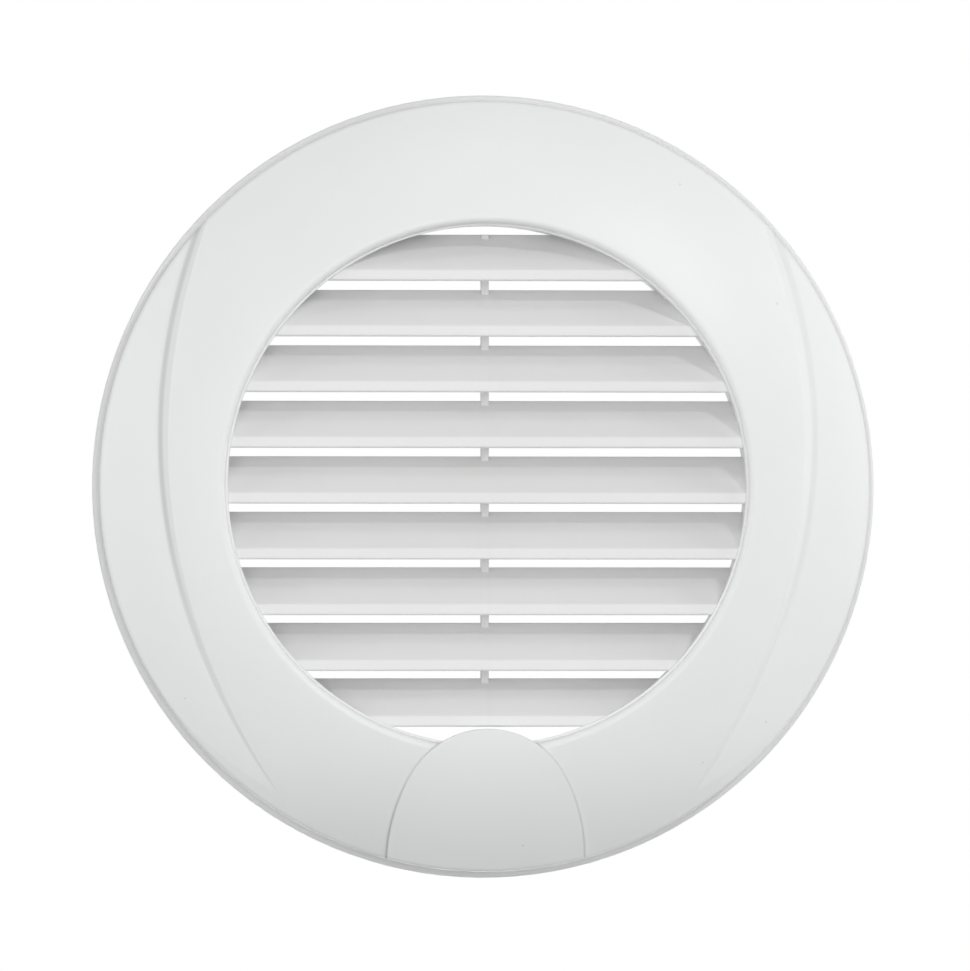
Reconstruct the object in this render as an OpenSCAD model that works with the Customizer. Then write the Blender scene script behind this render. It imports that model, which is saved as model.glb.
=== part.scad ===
// Round louvred ventilation grille: a louvre base that screws to the wall over a duct,
// and a crowned front bezel that clips over it and hides the screws.
// The front faces -Y and up is +Z. The origin is the middle of the face that lies on the wall.
// Each piece is drawn lying on its back, front up, and seated() stands it upright.

/* [Flange and spigot] */
// Outer diameter of the base flange
flange_d = 125; // [124:0.5:140]
// Thickness of the base flange
flange_t = 2; // [1.5:0.1:2.4]
// Rounding of the flange's front edge
flange_edge_r = 0.5; // [0.2:0.1:0.8]
// Outer diameter of the spigot that enters the duct
spigot_d = 98; // [94:0.5:104]
// Wall of the spigot
spigot_wall = 2; // [1.2:0.1:3]
// Length of the spigot behind the flange
spigot_l = 22; // [12:1:60]
// Lead-in chamfer on the spigot's end
spigot_chamfer = 1; // [0.4:0.1:1.1]

/* [Louvre ring] */
// Bore at the front edge of the ring that carries the slats
bore_d = 82.3; // [76:0.1:82.6]
// Draft of the bore, which widens towards the back, in degrees
bore_draft = 2; // [0.5:0.5:3]
// Wall of the louvre ring
ring_wall = 2.2; // [1.8:0.1:2.4]
// Height of the ring's front edge above the wall
ring_h = 12.8; // [12:0.1:13]
// Number of stiffening gussets round the ring
gusset_n = 8; // [4:1:12]
// Thickness of a gusset
gusset_t = 1.2; // [0.8:0.1:2]
// Height of a gusset above the flange
gusset_h = 4; // [2:0.5:5]

/* [Slats] */
// Number of slats
slat_n = 9; // [5:1:9]
// Distance from one slat to the next
slat_pitch = 8.84; // [8.2:0.02:9]
// Clear height between one slat's lip and the next slat's back edge, seen from the front
slat_gap = 1.2; // [0.6:0.1:2]
// Depth of a slat from its lip to its back edge
slat_depth = 8; // [6:0.5:9]
// Height of the upright lip along a slat's front
lip_h = 1.7; // [1.2:0.1:2.4]
// Thickness of the lip
lip_t = 1.2; // [0.8:0.1:1.6]
// Rounding of the lip's two front edges
lip_round = 0.3; // [0.1:0.05:0.5]
// Thickness of the sloping blade
blade_t = 1.2; // [0.8:0.1:1.6]
// Set-back of the lips behind the ring's front edge
lip_back = 0.3; // [0:0.1:1]
// Rise of the whole row of slats above the axis
row_rise = 0.9; // [0:0.1:1.6]
// Width of the upright rib that ties the slats together
rib_w = 1.2; // [0.8:0.1:2.4]
// Depth of the rib, front to back
rib_depth = 3; // [2:0.5:4]
// How far the rib reaches forward of the slats' back edges
rib_lap = 1; // [0.5:0.1:1.5]

/* [Bezel] */
// Outer diameter of the front bezel
bezel_d = 122.8; // [120:0.2:123]
// Height of the bezel's face at the opening, above the wall
bezel_h = 14.5; // [14:0.1:17]
// Wall of the bezel
bezel_wall = 2.2; // [1.6:0.1:2.4]
// Diameter of the opening in the bezel
opening_d = 83.1; // [82.8:0.1:84]
// Rounding of the opening's front edge
opening_round = 1; // [0.5:0.1:1.2]
// Height of the crowned face at the rim, above the wall
rim_h = 6.1; // [5:0.1:8]
// Diameter of the circle on which the crown is highest
crest_d = 63.2; // [56:0.2:70]
// Rounding of the bezel's outer edge
rim_round = 0.8; // [0.4:0.1:1.2]

/* [Side flats] */
// Depth of the flats below the crown at the opening's circle, level with the axis
flat_drop = 2; // [1:0.1:3]
// Depth of the flats below the crown at the rim, level with the axis
flat_rim_drop = 0.6; // [0.3:0.1:1.2]
// Lean of the flats, which run out into the crown at the bottom, in degrees
flat_lean = 1.1; // [0.8:0.1:1.5]
// Half width of the raised band between the flats where it is widest
band_half = 51.9; // [49:0.1:54]
// Height above the wall at which the band has that half width
band_level = 10; // [8:0.5:12]
// Radius of the leaning round faces that form the band's sides
band_r = 92; // [80:1:100]
// Height of the band's widest part above the axis
band_up = 3.9; // [0:0.1:6]
// Lean of the band's side faces away from the front direction, in degrees
band_draft = 36; // [20:1:40]

/* [Thumb pad] */
// Width of the raised thumb pad at the rim
pad_w = 31.4; // [24:0.2:36]
// Distance of the pad's top end below the axis
pad_top = 38.6; // [36:0.2:44]
// Distance of the pad's widest part below the axis
pad_base = 59.6; // [56:0.2:62]
// Radius of the pad's side arcs
pad_side_r = 28.6; // [25:0.2:40]
// Rise of the pad above the crown at the opening
pad_rise = 0.5; // [0.2:0.1:1]
// Rise of the pad above the crown at the rim
pad_rim_rise = 1.2; // [0.6:0.1:2]

/* [Screws] */
// Number of screw holes in the flange
screw_n = 4; // [3:1:4]
// Diameter of the screw circle
screw_pcd = 109; // [108.6:0.1:109.2]
// Diameter of a screw hole
screw_hole_d = 4.2; // [3:0.1:4.6]
// Diameter of the countersink
screw_head_d = 7.6; // [6:0.1:8]
// Diameter of a screw boss
boss_d = 9; // [8.6:0.1:9]
// Height of a screw boss above the flange
boss_h = 1.6; // [1:0.1:2]

/* [Clip fit] */
// Number of hooks on the bezel
hook_n = 4; // [3:1:4]
// Length of a hook round the ring, in degrees
hook_arc = 14; // [8:1:20]
// Thickness of a hook
hook_t = 1.6; // [1.2:0.1:2]
// Depth of a hook's barb
barb = 0.8; // [0.5:0.1:1]
// Height of the barb's catching face above the flange
barb_top = 3.3; // [2.5:0.1:3.5]
// Outer diameter of the catch ring on the base
catch_d = 99.2; // [98.6:0.1:99.4]
// Wall of the catch ring
catch_wall = 1.6; // [1.2:0.1:2]
// Height of the catch ring above the flange
catch_h = 5; // [4.6:0.1:5.5]
// Depth of the bead round the catch ring's top
bead = 0.7; // [0.4:0.1:0.9]
// Clearance between pieces that slide past each other
fit = 0.2; // [0.1:0.05:0.3]
// Wall of the bezel's skirt round the louvre ring
skirt_wall = 1.5; // [1.2:0.1:2]
// Length of the skirt behind the ring's front edge
skirt_l = 3.8; // [2:0.1:5]

/* [Hidden] */
$fn = 96;
plastic = [0.91, 0.925, 0.915];
eps = 0.01;

flange_r = flange_d / 2;
spigot_r = spigot_d / 2;
bore_r = bore_d / 2;
bore_back_r = bore_r + ring_h * tan(bore_draft);
ring_r = bore_r + ring_wall;
catch_r = catch_d / 2;
bezel_r = bezel_d / 2;
opening_r = opening_d / 2;
tall = 2 * bezel_h;

// Sections of the crown, the flats and the pad: arcs that are highest on the crest circle,
// each given by its heights at the opening and at the rim
crest_r = crest_d / 2;
open_run = opening_r - crest_r;
rim_run = bezel_r - crest_r;
// Height of an arc's point at the opening above the arc's centre
function arc_rise(high, low) = ((pow(rim_run, 2) - pow(open_run, 2)) / (high - low) + high - low) / 2;
function arc_centre(high, low) = [crest_r, high - arc_rise(high, low)];
function arc_radius(high, low) = norm([arc_rise(high, low), open_run]);
crown_c = arc_centre(bezel_h, rim_h);
crown_r = arc_radius(bezel_h, rim_h);
flat_c = arc_centre(bezel_h - flat_drop, rim_h - flat_rim_drop);
flat_r = arc_radius(bezel_h - flat_drop, rim_h - flat_rim_drop);
pad_c = arc_centre(bezel_h + pad_rise, rim_h + pad_rim_rise);
pad_r = arc_radius(bezel_h + pad_rise, rim_h + pad_rim_rise);

// Slats
slat_rise = slat_pitch - slat_gap;
lip_front = ring_h - lip_back;
slat_back = lip_front - slat_depth;
row_r = (bore_r + ring_r) / 2;
function slat_y(i) = row_rise + slat_pitch * ((slat_n - 1) / 2 - i) - slat_rise / 2;

// Thumb pad: two side arcs and the arc round its top end, which touches both
pad_half = pad_w / 2;
pad_len = pad_base - pad_top;
pad_side_x = pad_side_r - pad_half;
pad_end_r = (pow(pad_side_r, 2) - pow(pad_side_x, 2) - pow(pad_len, 2)) / (2 * (pad_side_r - pad_len));
pad_end_y = pad_len - pad_end_r;
pad_touch_y = pad_side_r * pad_end_y / (pad_side_r - pad_end_r);

// Clip fit
skirt_in = ring_r + fit;
skirt_out = skirt_in + skirt_wall;
hook_in = catch_r + bead + fit;
bead_base = catch_h - 2 * bead;

module seated() {
    rotate([90, 0, 0])
        children();
}

// Upright cylinder between two heights
module drum(r, low, high) {
    translate([0, 0, low])
        cylinder(r = r, h = high - low);
}

// Region under a crown arc with centre c, out to a rim whose edge is rounded
module crown_section(c, arc, rim, edge) {
    reach = rim - edge - c.x;
    edge_c = [rim - edge, c.y + sqrt(pow(arc - edge, 2) - pow(reach, 2))];
    touch_x = c.x + reach * arc / (arc - edge);
    square([c.x, c.y + arc]);
    intersection() {
        translate(c)
            circle(r = arc);
        translate([c.x - eps, 0])
            square([touch_x - c.x + eps, c.y + arc]);
    }
    square([rim, edge_c.y]);
    translate(edge_c)
        circle(r = edge);
}

module crown(c, arc, rim, edge) {
    rotate_extrude()
        crown_section(c, arc, rim, edge);
}

// Raised middle band between two leaning round side faces, moved in by a wall
module band(inset) {
    shift = band_r / cos(band_draft) - band_half;
    reach = 3 * tall;
    intersection_for (side = [-1, 1])
        translate([side * shift, band_up, band_level])
            rotate([0, side * band_draft, 0])
                translate([0, 0, -reach])
                    cylinder(r = band_r - inset, h = 2 * reach);
}

// Lower crown that leans back, for the side flats, moved in by a wall
module flats(inset) {
    rotate([-flat_lean, 0, 0])
        crown(flat_c, flat_r - inset, bezel_r + bezel_wall, rim_round);
}

module pad_outline() {
    translate([0, -pad_base]) {
        intersection() {
            translate([-pad_side_x, 0])
                circle(r = pad_side_r);
            translate([pad_side_x, 0])
                circle(r = pad_side_r);
            translate([-pad_half, -pad_half])
                square([pad_w, pad_half + pad_touch_y]);
        }
        translate([0, pad_end_y])
            circle(r = pad_end_r);
    }
}

// Crowned disc with its band and side flats, moved in by a wall
module face_form(inset) {
    intersection() {
        crown(crown_c, crown_r - inset, bezel_r - inset, rim_round);
        union() {
            band(inset);
            flats(inset);
        }
    }
}

// Outer form of the bezel before it is hollowed
module bezel_form() {
    face_form(0);
    intersection() {
        crown(pad_c, pad_r, bezel_r, rim_round);
        linear_extrude(tall)
            pad_outline();
    }
}

// Hollow between the skirt round the louvre ring and the rim
module bezel_hollow() {
    difference() {
        face_form(bezel_wall);
        drum(skirt_out, ring_h - skirt_l, tall);
    }
}

// Round opening with a rounded front edge, left closed where the thumb pad reaches over it
module bezel_opening() {
    reach = opening_r + opening_round - crown_c.x;
    edge_h = crown_c.y + sqrt(pow(crown_r - opening_round, 2) - pow(reach, 2));
    touch_x = crown_c.x + reach * crown_r / (crown_r - opening_round);
    difference() {
        union() {
            drum(opening_r, 0, tall);
            rotate_extrude()
                difference() {
                    translate([0, edge_h])
                        square([touch_x, tall - edge_h]);
                    translate([opening_r + opening_round, edge_h])
                        circle(r = opening_round);
                }
        }
        translate([0, 0, ring_h + fit])
            linear_extrude(tall)
                pad_outline();
    }
}

// Clip hook with a barb that catches below the bead of the base's catch ring
module hook() {
    rotate([0, 0, -hook_arc / 2])
        rotate_extrude(angle = hook_arc)
            polygon([
                [hook_in, flange_t + barb_top],
                [hook_in - barb, flange_t + barb_top],
                [hook_in - barb, flange_t + barb_top - barb],
                [hook_in, flange_t + barb_top - 3 * barb],
                [hook_in + hook_t, flange_t + barb_top - 3 * barb],
                [hook_in + hook_t, bezel_h],
                [hook_in, bezel_h]
            ]);
}

module front_bezel() {
    color(plastic)
        seated() {
            difference() {
                bezel_form();
                drum(bezel_r + bezel_wall, -eps, flange_t);
                bezel_hollow();
                drum(skirt_in, 0, ring_h);
                bezel_opening();
            }
            intersection() {
                face_form(bezel_wall / 2);
                for (i = [0:hook_n - 1])
                    rotate([0, 0, 90 + i * 360 / hook_n])
                        hook();
            }
        }
}

// Section of one slat: up along x, front along y
module slat_section() {
    drop = blade_t * slat_depth / (slat_rise - lip_h);
    slope = atan2(slat_depth, slat_rise - lip_h);
    run = lip_round * tan(slope / 2);
    polygon([
        [lip_round, lip_front],
        [lip_h - run, lip_front],
        [lip_h + run * cos(slope), lip_front - run * sin(slope)],
        [slat_rise, slat_back],
        [slat_rise - drop, slat_back],
        [lip_h - drop * lip_t / slat_depth, lip_front - lip_t],
        [0, lip_front - lip_t],
        [0, lip_front - lip_round]
    ]);
    for (x = [lip_round, lip_h - run])
        translate([x, lip_front - lip_round])
            circle(r = lip_round);
}

module slats() {
    intersection() {
        drum(row_r, 0, ring_h);
        for (i = [0:slat_n - 1])
            translate([-row_r, slat_y(i), 0])
                rotate([90, 0, 90])
                    linear_extrude(2 * row_r)
                        slat_section();
    }
}

// Upright rib behind the slats, from the last slat's lip to the first slat's back edge
module rib() {
    low = slat_y(slat_n - 1) + lip_h;
    high = slat_y(0) + slat_rise;
    translate([-rib_w / 2, low, slat_back + rib_lap - rib_depth])
        cube([rib_w, high - low, rib_depth]);
}

module screw_hole() {
    head = (screw_head_d - screw_hole_d) / 2;
    drum(screw_hole_d / 2, -eps, flange_t + boss_h + eps);
    translate([0, 0, flange_t + boss_h - head])
        cylinder(r1 = screw_hole_d / 2, r2 = screw_head_d / 2, h = head + eps);
}

module at_screws() {
    for (i = [0:screw_n - 1])
        rotate([0, 0, 45 + i * 360 / screw_n])
            translate([screw_pcd / 2, 0, 0])
                children();
}

// Half section of the base: flange, louvre ring, catch ring and spigot
module base_section() {
    difference() {
        polygon([
            [bore_back_r, 0],
            [bore_r + (ring_h - flange_t) * tan(bore_draft), flange_t],
            [flange_r, flange_t],
            [flange_r, 0]
        ]);
        translate([flange_r - flange_edge_r, flange_t - flange_edge_r])
            difference() {
                square(flange_edge_r + eps);
                circle(r = flange_edge_r);
            }
    }
    polygon([[bore_back_r, 0], [bore_r, ring_h], [ring_r, ring_h], [ring_r, 0]]);
    polygon([
        [catch_r - catch_wall, 0],
        [catch_r, 0],
        [catch_r, flange_t + bead_base],
        [catch_r + bead, flange_t + bead_base + bead / 2],
        [catch_r + bead, flange_t + bead_base + bead],
        [catch_r, flange_t + catch_h],
        [catch_r - catch_wall, flange_t + catch_h]
    ]);
    polygon([
        [spigot_r - spigot_wall, eps],
        [spigot_r, eps],
        [spigot_r, spigot_chamfer - spigot_l],
        [spigot_r - spigot_chamfer, -spigot_l],
        [spigot_r - spigot_wall, -spigot_l]
    ]);
}

module louvre_base() {
    color(plastic)
        seated() {
            difference() {
                union() {
                    rotate_extrude()
                        base_section();
                    at_screws()
                        drum(boss_d / 2, 0, flange_t + boss_h);
                }
                at_screws()
                    screw_hole();
            }
            for (i = [0:gusset_n - 1])
                rotate([0, 0, (i + 0.5) * 360 / gusset_n])
                    translate([ring_r - eps, -gusset_t / 2, 0])
                        cube([catch_r - catch_wall - ring_r + 2 * eps, gusset_t, flange_t + gusset_h]);
            slats();
            rib();
        }
}

louvre_base();
front_bezel();
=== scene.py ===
"""Looks of a round louvred ventilation grille in white moulded plastic, with the studio that it stands in."""
import math

import bpy
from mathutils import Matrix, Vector

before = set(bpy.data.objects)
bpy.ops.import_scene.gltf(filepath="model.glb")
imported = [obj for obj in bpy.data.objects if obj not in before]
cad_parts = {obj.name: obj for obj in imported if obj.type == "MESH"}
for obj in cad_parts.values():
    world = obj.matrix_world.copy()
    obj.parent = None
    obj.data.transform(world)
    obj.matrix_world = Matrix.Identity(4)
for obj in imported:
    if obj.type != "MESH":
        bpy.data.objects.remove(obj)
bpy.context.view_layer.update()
MM = 0.001

# Colours, as linear red, green and blue
BEZEL_WHITE = (0.838, 0.852, 0.846, 1)
BASE_WHITE = (0.824, 0.825, 0.823, 1)
# Grey for the dust specks and for the painted shade in creases, in the joint, along the rim and towards the
# bottom
DUST_AND_SHADE_GREY = (0.40, 0.415, 0.41, 1)
FLOOR_PALE = (0.68, 0.68, 0.68, 1)
PLAIN_WHITE = (1, 1, 1, 1)

# Noise patterns of the plastic, each with its scale per metre and its detail
CLOUDS = (35, 3)
FLOW = (240, 2)
PEEL = (1100, 1)
GRAIN = (5200, 1)

# Brightness of the plastic's darker clouds, and how much the clouds and the flow marks bring it in
CLOUD_SHADE = 0.965
CLOUD_SHARE = 0.55
FLOW_SHARE = 0.25

# Values of the cloud noise at which the clouds set in and are full
CLOUD_RANGE = (0.3, 0.7)

# Heights of the orange peel and of the grain, and depth of the sink line over the rib, in mm
PEEL_HEIGHT = 0.010
GRAIN_HEIGHT = 0.0035
SINK_DEPTH = 0.03

# How much the clouds and the grain change the roughness, and how finely the rounded edges are worked out
CLOUD_ROUGHNESS = 0.06
GRAIN_ROUGHNESS = 0.08
EDGE_SAMPLES = 6

# The bezel's forms, in mm, as in the part's source: radii of its rim, its opening and its crest
RIM_R = 61.4
OPENING_R = 41.55
CREST_R = 31.6

# Side flats: heights above the wall at the opening and at the rim, and their lean
FLAT_HIGH = 12.5
FLAT_LOW = 5.5
FLAT_LEAN = math.radians(1.1)

# Raised band: half width, the height at which it has it, and the radius, place and lean of its sides
BAND_HALF = 51.9
BAND_LEVEL = 10
BAND_R = 92
BAND_UP = 3.9
BAND_DRAFT = math.radians(36)

# Thumb pad: half width, its top and its widest part below the axis, and the radius of its sides
PAD_HALF = 15.7
PAD_TOP = 38.6
PAD_BASE = 59.6
PAD_SIDE_R = 28.6

# Strength of the painted shade, from 0 to 1, on the left half and on the right one; the left half, away from
# the stronger light on the right, gets more
BAND_SHADE = (0.4, 0.2)
PAD_SHADE = (0.32, 0.15)
RIM_SHADE = (0.2, 0.05)
JOINT_SHADE = (0.34, 0.12)

# Strength of the painted shade towards the bottom and of the dust specks, the same on both halves
BOTTOM_SHADE = 0.18
SPECK_DUST = 0.3

# Half width of the middle stretch in which the left half's painted shade gives way to the right one's, in mm
MIDDLE_HALF = 15

# Heights from the axis at which painted shade sets in and at which it has its full effect, in mm
BAND_SHADE_UP = (-36, 0)
PAD_SHADE_UP = (-42, -58)
BOTTOM_SHADE_UP = (-38, -60)

# Lines of painted shade in the creases, in mm: where they end beside the band and round the pad, and within
# what they are full
BAND_LINE_END = 0.6
PAD_LINE_END = 0.5
LINE_FULL = 0.05

# How far the band's line of painted shade lies up the band's side, on the left half and on the right one, in
# mm
BAND_LINE_LIFT = (0.45, 0.05)

# Width of the painted shade along the bezel's rim, in mm
RIM_SHADE_W = 0.7

# Painted shade in the joint, in mm: where it starts and is full inside the rim, and where it ends outside
JOINT_START = 1
JOINT_FULL = 0.3
JOINT_END = 2

# Dust specks on the bezel, each with its place across, its place up and its radius, in mm
SPECKS = (
    (30.9, 48.0, 0.24),
    (46.3, 29.0, 0.28),
    (44.7, -37.6, 0.24),
    (34.5, -44.0, 0.22),
    (5.8, -57.2, 0.24),
    (-47.8, -33.8, 0.24),
)

# Share of a speck's radius within which it is full
SPECK_CORE = 0.4

# Distance from every lamp to the grille
LAMP_DISTANCE = 2.0

# Floor: its height from the grille's middle, and the length of its sides
FLOOR_Z = -1.4
FLOOR_SIZE = 9.0

# Photograph: the size of one pixel at the grille's face, and its width in pixels
PIXEL = 0.159 * MM
PHOTO_W = 970

# Camera: its angles, its distance, the nearest that it sees, and the point that it looks at
CAMERA_AZIMUTH = math.radians(-3)
CAMERA_ELEVATION = math.radians(-1)
CAMERA_DISTANCE = 1.5
CAMERA_NEAREST = 0.01
AIM = Vector((-0.24 * MM, -10 * MM, 0))

# Width of the camera's sensor, in mm
SENSOR_W = 36


class Socket:
    """A shader value that adds Math nodes when it is used in an expression."""

    def __init__(self, finish, link):
        self.finish = finish
        self.link = link

    def math(self, operation, *others):
        """Adds a Math node that works on this value and the others."""
        values = dict(enumerate((self, *others)))
        return self.finish.node("Math", {"operation": operation}, values)

    def __add__(self, other):
        return self.math("ADD", other)

    __radd__ = __add__

    def __sub__(self, other):
        return self.math("SUBTRACT", other)

    def __rsub__(self, other):
        return (self * -1) + other

    def __mul__(self, other):
        return self.math("MULTIPLY", other)

    __rmul__ = __mul__

    def fade(self, start, end):
        """Goes smoothly from 0 where the value is start to 1 where it is end."""
        return self.finish.node("MapRange", {"interpolation_type": "SMOOTHSTEP"},
                                {"Value": self, "From Min": start, "From Max": end})


class Finish:
    """The nodes of one material or of the world."""

    # Sockets of a Mix node that are for colours
    FIRST_COLOUR = 6
    SECOND_COLOUR = 7
    MIXED_COLOUR = 2

    def __init__(self, tree):
        self.tree = tree

    def node(self, kind, settings=None, values=None, output=0):
        """Adds a node, gives it its settings and then its sockets, and returns one output as a Socket."""
        made = self.tree.nodes.new("ShaderNode" + kind)
        for name, setting in (settings or {}).items():
            setattr(made, name, setting)
        self.plug(made, values or {})
        return Socket(self, made.outputs[output])

    def plug(self, made, values):
        """Links each Socket to its input, and sets a plain value on the input itself."""
        for name, value in values.items():
            if isinstance(value, Socket):
                self.tree.links.new(value.link, made.inputs[name])
            else:
                made.inputs[name].default_value = value

    def noise(self, place, pattern):
        """A noise pattern, given by its scale and its detail."""
        scale, detail = pattern
        return self.node("TexNoise", {}, {"Vector": place, "Scale": scale, "Detail": detail}, "Fac")

    def in_mm(self, place, axis):
        """One coordinate of a place, in mm."""
        return self.node("SeparateXYZ", {}, {"Vector": place}, axis) * (1 / MM)

    def blend(self, factor, first, second):
        """Mixes two colours."""
        values = {0: factor, self.FIRST_COLOUR: first, self.SECOND_COLOUR: second}
        return self.node("Mix", {"data_type": "RGBA"}, values, self.MIXED_COLOUR)


def span(first, second):
    """Length of the long side of a right triangle with these two short sides."""
    return (first * first + second * second).math("SQRT")


# Painted shade and dust, as the share of the plastic that they hide at a place in mm across, off the wall and
# up from the axis


def heavier_left(across, strengths):
    """The first strength on the left half and the second one on the right half."""
    left, right = strengths
    return across.fade(MIDDLE_HALF, -MIDDLE_HALF) * (left - right) + right


def shade_by_the_band(across, height, up):
    """Painted shade along the crease where the raised band's sides stand on the side flats."""
    # A side flat is an arc turned about the axis, highest at the crest's radius, that leans back a little
    open_run = OPENING_R - CREST_R
    rim_run = RIM_R - CREST_R
    drop = FLAT_HIGH - FLAT_LOW
    arc_rise = ((rim_run ** 2 - open_run ** 2) / drop + drop) / 2
    flat_up = up * math.cos(FLAT_LEAN) - height * math.sin(FLAT_LEAN)
    flat_height = up * math.sin(FLAT_LEAN) + height * math.cos(FLAT_LEAN)
    from_arc_centre = span(span(across, flat_up) - CREST_R, flat_height - (FLAT_HIGH - arc_rise))
    above_flat = from_arc_centre - math.hypot(arc_rise, open_run)
    # Each side of the band is a cylinder that leans outwards to the wall
    shift = BAND_R / math.cos(BAND_DRAFT) - BAND_HALF
    out = (across.math("ABSOLUTE") + shift) * math.cos(BAND_DRAFT)
    out = out + (height - BAND_LEVEL) * math.sin(BAND_DRAFT)
    beside_band = span(out, up - BAND_UP) - BAND_R
    from_line = span(above_flat - heavier_left(across, BAND_LINE_LIFT), beside_band)
    line = from_line.fade(BAND_LINE_END, LINE_FULL)
    return line * up.fade(*BAND_SHADE_UP) * heavier_left(across, BAND_SHADE)


def shade_round_the_pad(across, up):
    """Painted shade on the crown along the outline of the thumb pad, twice as strong at the bottom."""
    # The pad's outline is two large arcs for its sides and a small one for its end
    long_side = PAD_BASE - PAD_TOP
    side_x = PAD_SIDE_R - PAD_HALF
    end_r = (PAD_SIDE_R ** 2 - side_x ** 2 - long_side ** 2) / (2 * (PAD_SIDE_R - long_side))
    end_up = long_side - end_r
    touch_up = PAD_SIDE_R * end_up / (PAD_SIDE_R - end_r)
    from_base = up + PAD_BASE
    side = span(across.math("ABSOLUTE") + side_x, from_base) - PAD_SIDE_R
    end = span(across, from_base - end_up) - end_r
    outside = side + (end - side) * from_base.math("GREATER_THAN", touch_up)
    line = outside.fade(PAD_LINE_END, LINE_FULL) * outside.fade(-LINE_FULL, LINE_FULL)
    return line * (up.fade(*PAD_SHADE_UP) + 1) * heavier_left(across, PAD_SHADE)


def dust_and_shade_on_bezel(across, height, up):
    """Painted shade by the band, round the pad, along the rim and towards the bottom, and dust in specks."""
    dust_and_shade = shade_by_the_band(across, height, up) + shade_round_the_pad(across, up)
    # Painted shade along the rim, heavier on the left half
    dust_and_shade = dust_and_shade + span(across, up).fade(RIM_R - RIM_SHADE_W, RIM_R) * heavier_left(across, RIM_SHADE)
    # Painted shade: darker towards the bottom, where less light falls
    dust_and_shade = dust_and_shade + up.fade(*BOTTOM_SHADE_UP) * BOTTOM_SHADE
    for speck_across, speck_up, radius in SPECKS:
        from_speck = span(across - speck_across, up - speck_up)
        dust_and_shade = dust_and_shade + from_speck.fade(radius, SPECK_CORE * radius) * SPECK_DUST
    return dust_and_shade


def shade_on_base(across, _height, up):
    """Painted shade on the flange, in the joint round the bezel's rim."""
    from_axis = span(across, up)
    inside = from_axis.fade(RIM_R - JOINT_START, RIM_R - JOINT_FULL)
    outside = from_axis.fade(RIM_R + JOINT_END, RIM_R)
    return inside * outside * heavier_left(across, JOINT_SHADE)


def moulded_plastic(name, white, roughness, round_edge, dust_and_shade_at, sink=None):
    """White plastic from a satin mould: cloudy colour, fine orange peel, rounded edges, a little dust and
    painted shade.

    The radius of the edges and the half width of a sink line up the middle are in mm.
    """
    material = bpy.data.materials.new(name)
    material.use_nodes = True
    finish = Finish(material.node_tree)
    place = finish.node("TexCoord", output="Object")
    across = finish.in_mm(place, "X")
    height = finish.in_mm(place, "Y") * -1
    up = finish.in_mm(place, "Z")
    clouds = finish.noise(place, CLOUDS)
    flow = finish.noise(place, FLOW)
    peel = finish.noise(place, PEEL)
    grain = finish.noise(place, GRAIN)
    shaded = tuple(part * CLOUD_SHADE for part in white[:3]) + (1,)
    colour = finish.blend(clouds.fade(*CLOUD_RANGE) * CLOUD_SHARE + flow * FLOW_SHARE, white, shaded)
    # Painted shade, and on the bezel dust specks, darken the plastic towards that grey
    colour = finish.blend(dust_and_shade_at(across, height, up), colour, DUST_AND_SHADE_GREY)
    relief = peel * PEEL_HEIGHT + grain * GRAIN_HEIGHT
    if sink:
        relief = relief + across.math("ABSOLUTE").fade(0, sink) * SINK_DEPTH
    rounded = finish.node("Bevel", {"samples": EDGE_SAMPLES}, {"Radius": round_edge * MM})
    smoothest = roughness - (CLOUD_ROUGHNESS + GRAIN_ROUGHNESS) / 2
    finish.plug(finish.tree.nodes["Principled BSDF"], {
        "Base Color": colour,
        "Roughness": clouds * CLOUD_ROUGHNESS + (grain * GRAIN_ROUGHNESS + smoothest),
        "Normal": finish.node("Bump", {}, {
            "Strength": 1.0,
            "Distance": MM,
            "Height": relief,
            "Normal": rounded,
        }),
    })
    return material


def dress(node, material):
    """Gives a CAD piece its material."""
    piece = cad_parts[node]
    piece.data.materials.clear()
    piece.data.materials.append(material)


def white_where_seen(finish, light, white):
    """White for what looks or mirrors straight at it, and the other shader for the light it gives."""
    seen = (finish.node("LightPath", output="Is Camera Ray")
            + finish.node("LightPath", output="Is Glossy Ray")
            + finish.node("LightPath", output="Is Transmission Ray"))
    return finish.node("MixShader", {}, {0: seen, 1: light, 2: white})


def add_world(strength):
    """Even light from all round, and a white background."""
    world = bpy.data.worlds.new("studio")
    bpy.context.scene.world = world
    world.use_nodes = True
    finish = Finish(world.node_tree)
    light = finish.node("Background", {}, {"Color": PLAIN_WHITE, "Strength": strength})
    white = finish.node("Background", {}, {"Color": PLAIN_WHITE, "Strength": 1.0})
    finish.plug(finish.tree.nodes["World Output"], {"Surface": white_where_seen(finish, light, white)})


def lay_floor():
    """A plain pale floor, well below the grille, that sends soft light back up."""
    bpy.ops.object.select_all(action="DESELECT")
    bpy.ops.mesh.primitive_plane_add(size=FLOOR_SIZE, location=(0, 0, FLOOR_Z))
    floor = bpy.context.object
    floor.name = "floor"
    material = bpy.data.materials.new("pale floor")
    material.use_nodes = True
    finish = Finish(material.node_tree)
    matt = finish.node("BsdfDiffuse", {}, {"Color": FLOOR_PALE})
    white = finish.node("Emission", {}, {"Color": PLAIN_WHITE, "Strength": 1.0})
    finish.plug(finish.tree.nodes["Material Output"], {"Surface": white_where_seen(finish, matt, white)})
    floor.data.materials.append(material)


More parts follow.
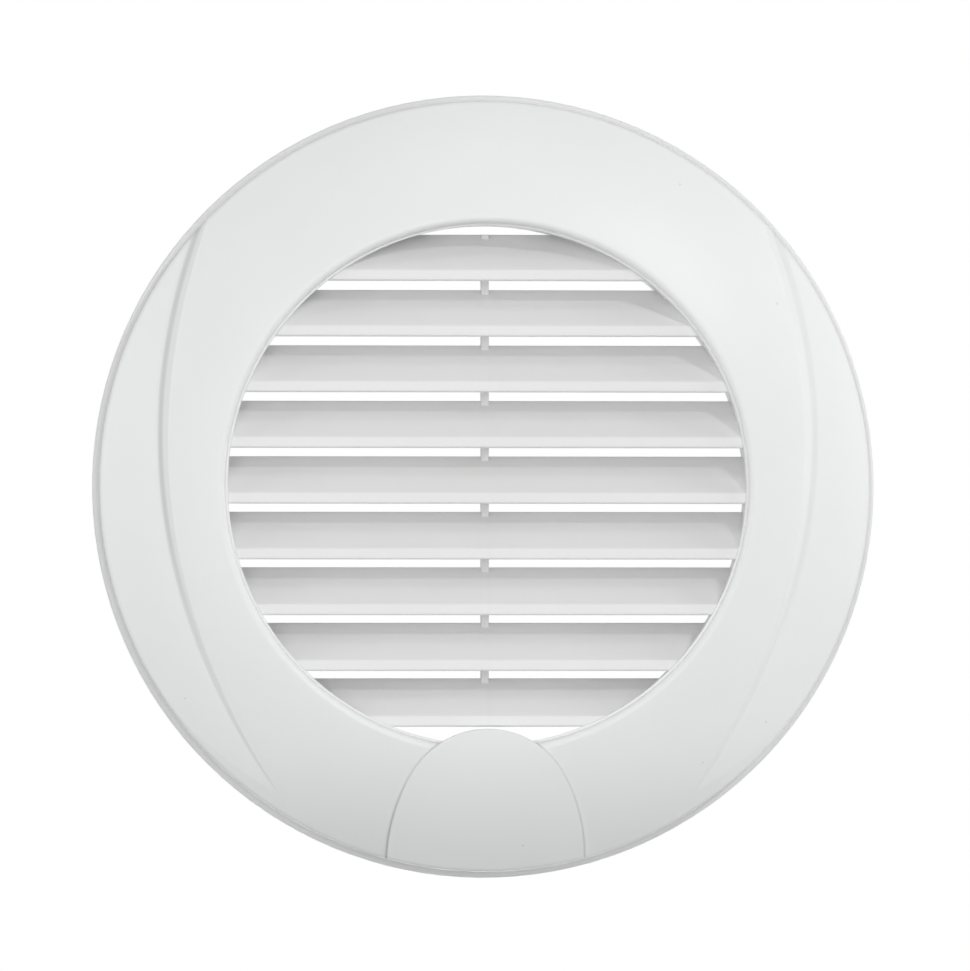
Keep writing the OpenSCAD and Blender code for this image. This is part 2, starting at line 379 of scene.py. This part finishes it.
def towards(azimuth, elevation):
    """Direction from the grille, turned from the front to the right and then up, in radians."""
    level = Vector((math.sin(azimuth), -math.cos(azimuth), 0))
    return level * math.cos(elevation) + Vector((0, 0, math.sin(elevation)))


def aim_back(thing, away):
    """Turns a lamp or the camera to look straight back along the direction that it was moved away in."""
    thing.rotation_euler = (-away).to_track_quat("-Z", "Y").to_euler()


def add_lamp(name, azimuth, elevation, size, power):
    """A square softbox aimed at the grille, with its angles in degrees."""
    lamp_data = bpy.data.lights.new(name, "AREA")
    lamp_data.shape = "SQUARE"
    lamp_data.size = size
    lamp_data.energy = power
    lamp = bpy.data.objects.new(name, lamp_data)
    bpy.context.collection.objects.link(lamp)
    away = towards(math.radians(azimuth), math.radians(elevation))
    lamp.location = away * LAMP_DISTANCE
    aim_back(lamp, away)


def add_camera():
    """Camera at the photograph's viewing angle, with a lens that gives each pixel its size at the face."""
    data = bpy.data.cameras.new("camera")
    data.sensor_width = SENSOR_W
    data.lens = SENSOR_W * CAMERA_DISTANCE / (PHOTO_W * PIXEL)
    data.clip_start = CAMERA_NEAREST
    camera = bpy.data.objects.new("camera", data)
    bpy.context.collection.objects.link(camera)
    away = towards(CAMERA_AZIMUTH, CAMERA_ELEVATION)
    camera.location = AIM + away * CAMERA_DISTANCE
    aim_back(camera, away)
    bpy.context.scene.camera = camera


dress("louvre_base", moulded_plastic("slat plastic", BASE_WHITE, roughness=0.45, round_edge=0.25,
                                     dust_and_shade_at=shade_on_base, sink=0.8))
dress("front_bezel", moulded_plastic("bezel plastic", BEZEL_WHITE, roughness=0.4, round_edge=0.45,
                                     dust_and_shade_at=dust_and_shade_on_bezel))
add_world(strength=0.26)
add_lamp("front softbox", azimuth=-7, elevation=0, size=1.2, power=14.6)
add_lamp("right softbox", azimuth=82, elevation=15, size=1.4, power=19)
add_lamp("left softbox", azimuth=-72, elevation=14, size=1.4, power=12)
add_lamp("key", azimuth=26, elevation=26, size=0.14, power=6)
add_lamp("strip above", azimuth=0, elevation=50, size=0.4, power=2)
add_lamp("low softbox behind", azimuth=180, elevation=-35, size=1.2, power=16)
lay_floor()
add_camera()
bpy.context.scene.view_settings.view_transform = "Standard"
